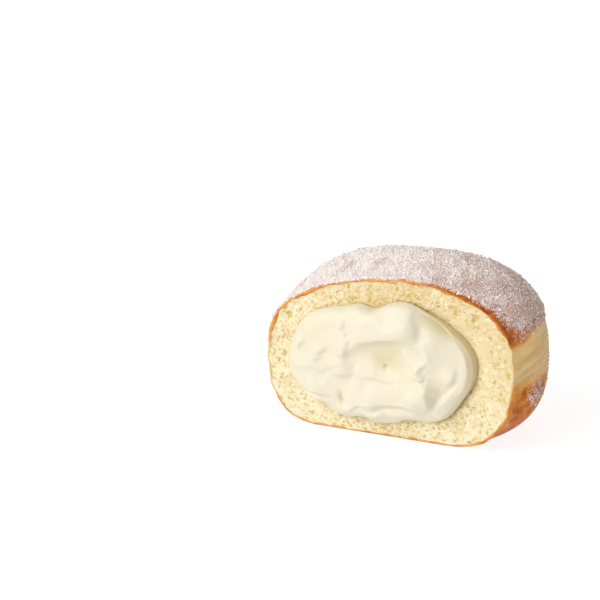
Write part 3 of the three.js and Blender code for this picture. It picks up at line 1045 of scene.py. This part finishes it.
def fold_height(fold, spots):
    """Height that one fold adds at spots (x, z) of the cut."""
    path, step, steep, reach = fold
    points = fold_path(path)
    nearest = np.full(len(spots), np.inf)
    side = np.zeros(len(spots))
    chord = points[-1] - points[0]
    share = clamp01((spots - points[0]) @ chord / (chord @ chord))
    for index in range(PATH_STEPS):
        run = points[index + 1] - points[index]
        t = clamp01((spots - points[index]) @ run / (run @ run))
        offset = spots - points[index] - t[:, None] * run
        distance = np.linalg.norm(offset, axis=1)
        turn = run[0] * offset[:, 1] - run[1] * offset[:, 0]
        turn = turn / (np.linalg.norm(run) * distance + TINY * MM)
        closer = distance < nearest
        nearest = np.where(closer, distance, nearest)
        side = np.where(closer, turn, side)
    width = (steep + (reach - steep) * (0.5 + 0.5 * side)) * MM
    ends = FOLD_END + (1 - FOLD_END) * np.sin(math.pi * share)
    return step * MM * ends * np.exp(-((nearest / width) ** 2))


def soft_waves(spots, wave):
    """Waves that cross in many directions, from about -1 to 1, the longest as long as wave."""
    random = np.random.default_rng(WAVE_SEED)
    total = np.zeros(len(spots))
    for number in range(WAVES):
        turn = random.uniform(0, 2 * math.pi)
        share = 1 - WAVE_SHORTENING * number / WAVES
        along = spots @ np.array([math.cos(turn), math.sin(turn)])
        total += share * np.sin(2 * math.pi * along / (wave * share) + random.uniform(0, 2 * math.pi))
    return total / math.sqrt(WAVES)


def cream_front(cream, points, share, right):
    """How far the cream's front stands out of the cut and the height of its folds.

    share is 0 in its middle and 1 at its edge, right is 1 beside the groove on the right.
    """
    flat = points.reshape(-1, 3)
    flat = flat * np.array([1, 0, 1])
    wander = np.stack([lump_noise(flat, cream.warp_length, seed) - 0.5 for seed in WARP_SEEDS], axis=1)
    spots = flat[:, [0, 2]] + 2 * cream.warp * wander
    folds = sum(fold_height(fold, spots) for fold in FOLDS)
    folds = folds * (FOLD_LEAST + FOLD_SPREAD * lump_noise(flat, 2 * cream.ripple_length, FOLD_SEED))
    folds = folds.reshape(points.shape[:-1])
    ripple = cream.ripple * (lump_noise(points, cream.ripple_length, RIPPLE_SEED) - 0.5)
    ripple = ripple + cream.crease * soft_waves(spots, cream.crease_length).reshape(points.shape[:-1])
    bulge = cream.bulge * clamp01(1 - share ** cream.bulge_power) ** cream.bulge_round
    bulge = cream.rim + bulge * (1 - cream.flat_right * right * share ** 2)
    return bulge + smooth(0, cream.fold_fade, 1 - share) * (folds + ripple), folds


class DOUGHNUT_OT_cream(bpy.types.Operator):
    """Builds the cream with its folds, bulging out of the cut"""

    bl_idname = "doughnut.cream"
    bl_label = "Cream"

    def execute(self, context):
        scene = context.scene
        bun, hollow, cream = scene.doughnut_bun, scene.doughnut_hollow, scene.doughnut_cream
        around = angles(CREAM_SIDES)
        rings = []
        for ring in range(HOLLOW_RINGS - 1, -1, -1):
            turn = hollow_turn(hollow, ring / HOLLOW_RINGS)
            y = (hollow.depth - cream.gap) * math.sin(turn) - cream.gap
            rings.append(hollow_points(bun, hollow, around, -2 * cream.gap, math.cos(turn), y))
        right = right_side(hollow, around)
        sunk = cream.sink * right
        lip = cream.overlap * (1 - cream.drawn_back * right)
        mouth = hollow.mouth_round + hollow.dip_depth * right
        rings.append(hollow_points(bun, hollow, around, cream.bite, 1, mouth))
        rings.append(hollow_points(bun, hollow, around, lip, 1, sunk - cream.gap))
        steps = np.linspace(0, 1, CREAM_RINGS + 1)[:-1]
        share = np.cos(math.pi / 2 * steps ** CREAM_RING_POWER)[:, None]
        front = hollow_points(bun, hollow, around[None], lip[None], share, -cream.gap)
        height, folds = cream_front(cream, front, share, right[None])
        front[..., 1] += sunk * share ** cream.sink_power - height
        back = np.array([hollow.x, hollow.depth - 2 * cream.gap, hollow.z])
        tip = front[-1].mean(axis=0)
        finish = cream_finish(scene.doughnut_colors)
        piece = add_loft("cream", back, np.concatenate([np.stack(rings), front]), tip, finish)
        # Painted shade: where the folds are low, near the edge beside the groove on the right, and all over
        # the cream hidden in the hollow
        recess_shade = clamp01(smooth(*RECESS_SHADE_EDGE, folds) + RECESS_SHADE_RIGHT * right * share ** RECESS_SHADE_POWER)
        recess_shade = np.concatenate([np.ones((len(rings), CREAM_SIDES)), recess_shade])
        add_values(piece, "recess_shade", np.concatenate([[1.0], recess_shade.ravel(), recess_shade[-1, :1]]))
        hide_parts("cream")
        return {"FINISHED"}


def scatter(context, count, seed, gather):
    """Random places on the sugared skin: middles, normals, thinness and the random draw itself."""
    points, normals, _, sugar, thin = crust_grid(context.scene.doughnut_bun, context.scene.doughnut_waist)
    down = points[1:] - points[:-1]
    across = np.roll(points, -1, axis=1) - points
    area = np.linalg.norm(np.cross(down, across[:-1]), axis=-1)
    weight = (area * smooth(*GRAIN_EDGE, sugar[:-1]) * sugar[:-1] ** gather).ravel()
    random = np.random.default_rng(seed)
    picks = random.choice(len(weight), count, p=weight / weight.sum())
    row, side = np.unravel_index(picks, area.shape)
    shift = random.random((count, 2, 1))
    middles = points[row, side] + shift[:, 0] * down[row, side] + shift[:, 1] * across[row, side]
    return middles, normals[row, side], thin[row, side], random


def random_turns(random, count):
    """Random rotation matrices."""
    turns = random.normal(size=(4, count))
    w, x, y, z = turns / np.linalg.norm(turns, axis=0)
    return np.stack([
        np.stack([1 - 2 * (y * y + z * z), 2 * (x * y - z * w), 2 * (x * z + y * w)], axis=-1),
        np.stack([2 * (x * y + z * w), 1 - 2 * (x * x + z * z), 2 * (y * z - x * w)], axis=-1),
        np.stack([2 * (x * z - y * w), 2 * (y * z + x * w), 1 - 2 * (x * x + y * y)], axis=-1),
    ], axis=1)


def add_grains(name, places, form, size, lift, finish):
    """One piece that holds many turned and scaled copies of a small form."""
    middles, normals, thin, random = places
    corners, faces = form
    count = len(middles)
    scale = size * random.lognormal(0, SIZE_SPREAD, (count, 1, 1)) * random.uniform(*SQUASH, (count, 1, 3))
    turned = np.einsum("nij,nkj->nki", random_turns(random, count), corners[None] * scale)
    lifted = middles + normals * (size * lift)
    points = turned + lifted[:, None]
    starts = np.arange(count)[:, None, None] * len(corners)
    all_faces = (faces[None] + starts).reshape(-1, faces.shape[1])
    piece = add_piece(name, points, all_faces.tolist(), finish, rounded=False)
    tint = clamp01(TINT_THIN * thin + TINT_SPREAD * (random.random(count) - 0.5))
    add_values(piece, "tint", np.repeat(tint, len(corners)))
    return piece


class DOUGHNUT_OT_sugar(bpy.types.Operator):
    """Scatters fine grains, coarse crystals and clumps of sugar on the crust"""

    bl_idname = "doughnut.sugar"
    bl_label = "Sugar"

    def execute(self, context):
        sizes = context.scene.doughnut_grains
        finish = sugar_finish(context.scene.doughnut_colors)
        axis = np.eye(3) * 0.5
        bead = (np.concatenate([axis, -axis]), np.array(BEAD_FACES))
        cube = (np.array(list(itertools.product((-0.5, 0.5), repeat=3))), np.array(CUBE_FACES))
        grains = scatter(context, sizes.grains, GRAIN_SEED, GRAIN_GATHER)
        crystals = scatter(context, sizes.crystals, CRYSTAL_SEED, CRYSTAL_GATHER)
        clumps = scatter(context, sizes.clumps, CLUMP_SEED, CLUMP_GATHER)
        add_grains("sugar_grains", grains, bead, sizes.grain, GRAIN_LIFT, finish)
        add_grains("sugar_crystals", crystals, cube, sizes.crystal, GRAIN_LIFT, finish)
        add_grains("sugar_clumps", clumps, bead, sizes.clump, CLUMP_LIFT, finish)
        return {"FINISHED"}


def add_floor(scene, stage):
    """A wide round floor that gives off a plain white and takes no part in the food's light."""
    turn = angles(FLOOR_SIDES)
    rim = np.stack([np.cos(turn), np.sin(turn), 0 * turn], axis=1) * stage.floor_radius
    rim[:, 2] = -FLOOR_DROP
    mesh = bpy.data.meshes.new("floor")
    mesh.from_pydata(rim.tolist(), [], [list(range(len(rim)))])
    mesh.materials.append(floor_finish(stage))
    floor = bpy.data.objects.new("floor", mesh)
    scene.collection.objects.link(floor)
    floor.visible_diffuse = False
    floor.visible_glossy = False
    floor.visible_shadow = False


def add_lights(scene, stage):
    """Even light from all around, a soft light from the front left and one from the ground."""
    world = bpy.data.worlds.new("sky")
    world.use_nodes = True
    world.node_tree.nodes["Background"].inputs["Color"].default_value = (1, 1, 1, 1)
    world.node_tree.nodes["Background"].inputs["Strength"].default_value = stage.sky
    scene.world = world
    lamps = (
        ("front_left", stage.sun, stage.sun_angle, LIGHT_FROM),
        ("ground", stage.bounce, stage.bounce_angle, BOUNCE_FROM),
    )
    for name, strength, spread, towards_lamp in lamps:
        lamp = bpy.data.lights.new(name, "SUN")
        lamp.energy = strength
        lamp.angle = spread
        light = bpy.data.objects.new(name, lamp)
        light.rotation_euler = Vector(towards_lamp).to_track_quat("Z", "Y").to_euler()
        scene.collection.objects.link(light)


def add_camera(scene, stage):
    """The camera at the photograph's angle."""
    a, e = stage.azimuth, stage.elevation
    back = Vector((math.sin(a) * math.cos(e), -math.cos(a) * math.cos(e), math.sin(e)))
    right = Vector((math.cos(a), math.sin(a), 0))
    up = back.cross(right)
    lens = bpy.data.cameras.new("camera")
    lens.lens = stage.lens
    lens.sensor_width = SENSOR_WIDTH
    lens.clip_start = CLIP_START
    camera = bpy.data.objects.new("camera", lens)
    place = CUT + right * stage.aim_right + up * stage.aim_up + back * stage.distance
    turned = Matrix((right, up, back)).transposed().to_4x4() @ Matrix.Rotation(-stage.roll, 4, "Z")
    camera.matrix_world = Matrix.Translation(place) @ turned
    scene.collection.objects.link(camera)
    scene.camera = camera


class DOUGHNUT_OT_stage(bpy.types.Operator):
    """Adds the floor, the soft light and the camera"""

    bl_idname = "doughnut.stage"
    bl_label = "Stage"

    def execute(self, context):
        scene = context.scene
        stage = scene.doughnut_stage
        add_floor(scene, stage)
        add_lights(scene, stage)
        add_camera(scene, stage)
        scene.view_settings.view_transform = "Standard"
        return {"FINISHED"}


class DOUGHNUT_PT_panel(bpy.types.Panel):
    """Lists the doughnut's pieces and sizes"""

    bl_idname = "DOUGHNUT_PT_panel"
    bl_label = "Doughnut"
    bl_space_type = "VIEW_3D"
    bl_region_type = "UI"
    bl_category = "Doughnut"

    def draw(self, context):
        for operator in OPERATORS:
            self.layout.operator(operator.bl_idname)
        for name in GROUPS:
            group = getattr(context.scene, name)
            for size in group.__annotations__:
                self.layout.prop(group, size)


OPERATORS = (DOUGHNUT_OT_crust, DOUGHNUT_OT_crumb, DOUGHNUT_OT_cream, DOUGHNUT_OT_sugar, DOUGHNUT_OT_stage)
GROUPS = {
    "doughnut_bun": BunSizes,
    "doughnut_waist": WaistSizes,
    "doughnut_hollow": HollowSizes,
    "doughnut_cream": CreamSizes,
    "doughnut_grains": GrainSizes,
    "doughnut_colors": FoodColors,
    "doughnut_stage": StageSettings,
}
CLASSES = (*GROUPS.values(), *OPERATORS, DOUGHNUT_PT_panel)


def register():
    for made in CLASSES:
        bpy.utils.register_class(made)
    for name, group in GROUPS.items():
        setattr(bpy.types.Scene, name, PointerProperty(type=group))


def unregister():
    for name in GROUPS:
        delattr(bpy.types.Scene, name)
    for made in reversed(CLASSES):
        bpy.utils.unregister_class(made)


def main():
    """Registers the add-on, builds every piece and keeps the sizes."""
    register()
    bpy.ops.doughnut.crust()
    bpy.ops.doughnut.crumb()
    bpy.ops.doughnut.cream()
    bpy.ops.doughnut.sugar()
    bpy.ops.doughnut.stage()


if __name__ == "__main__":
    main()
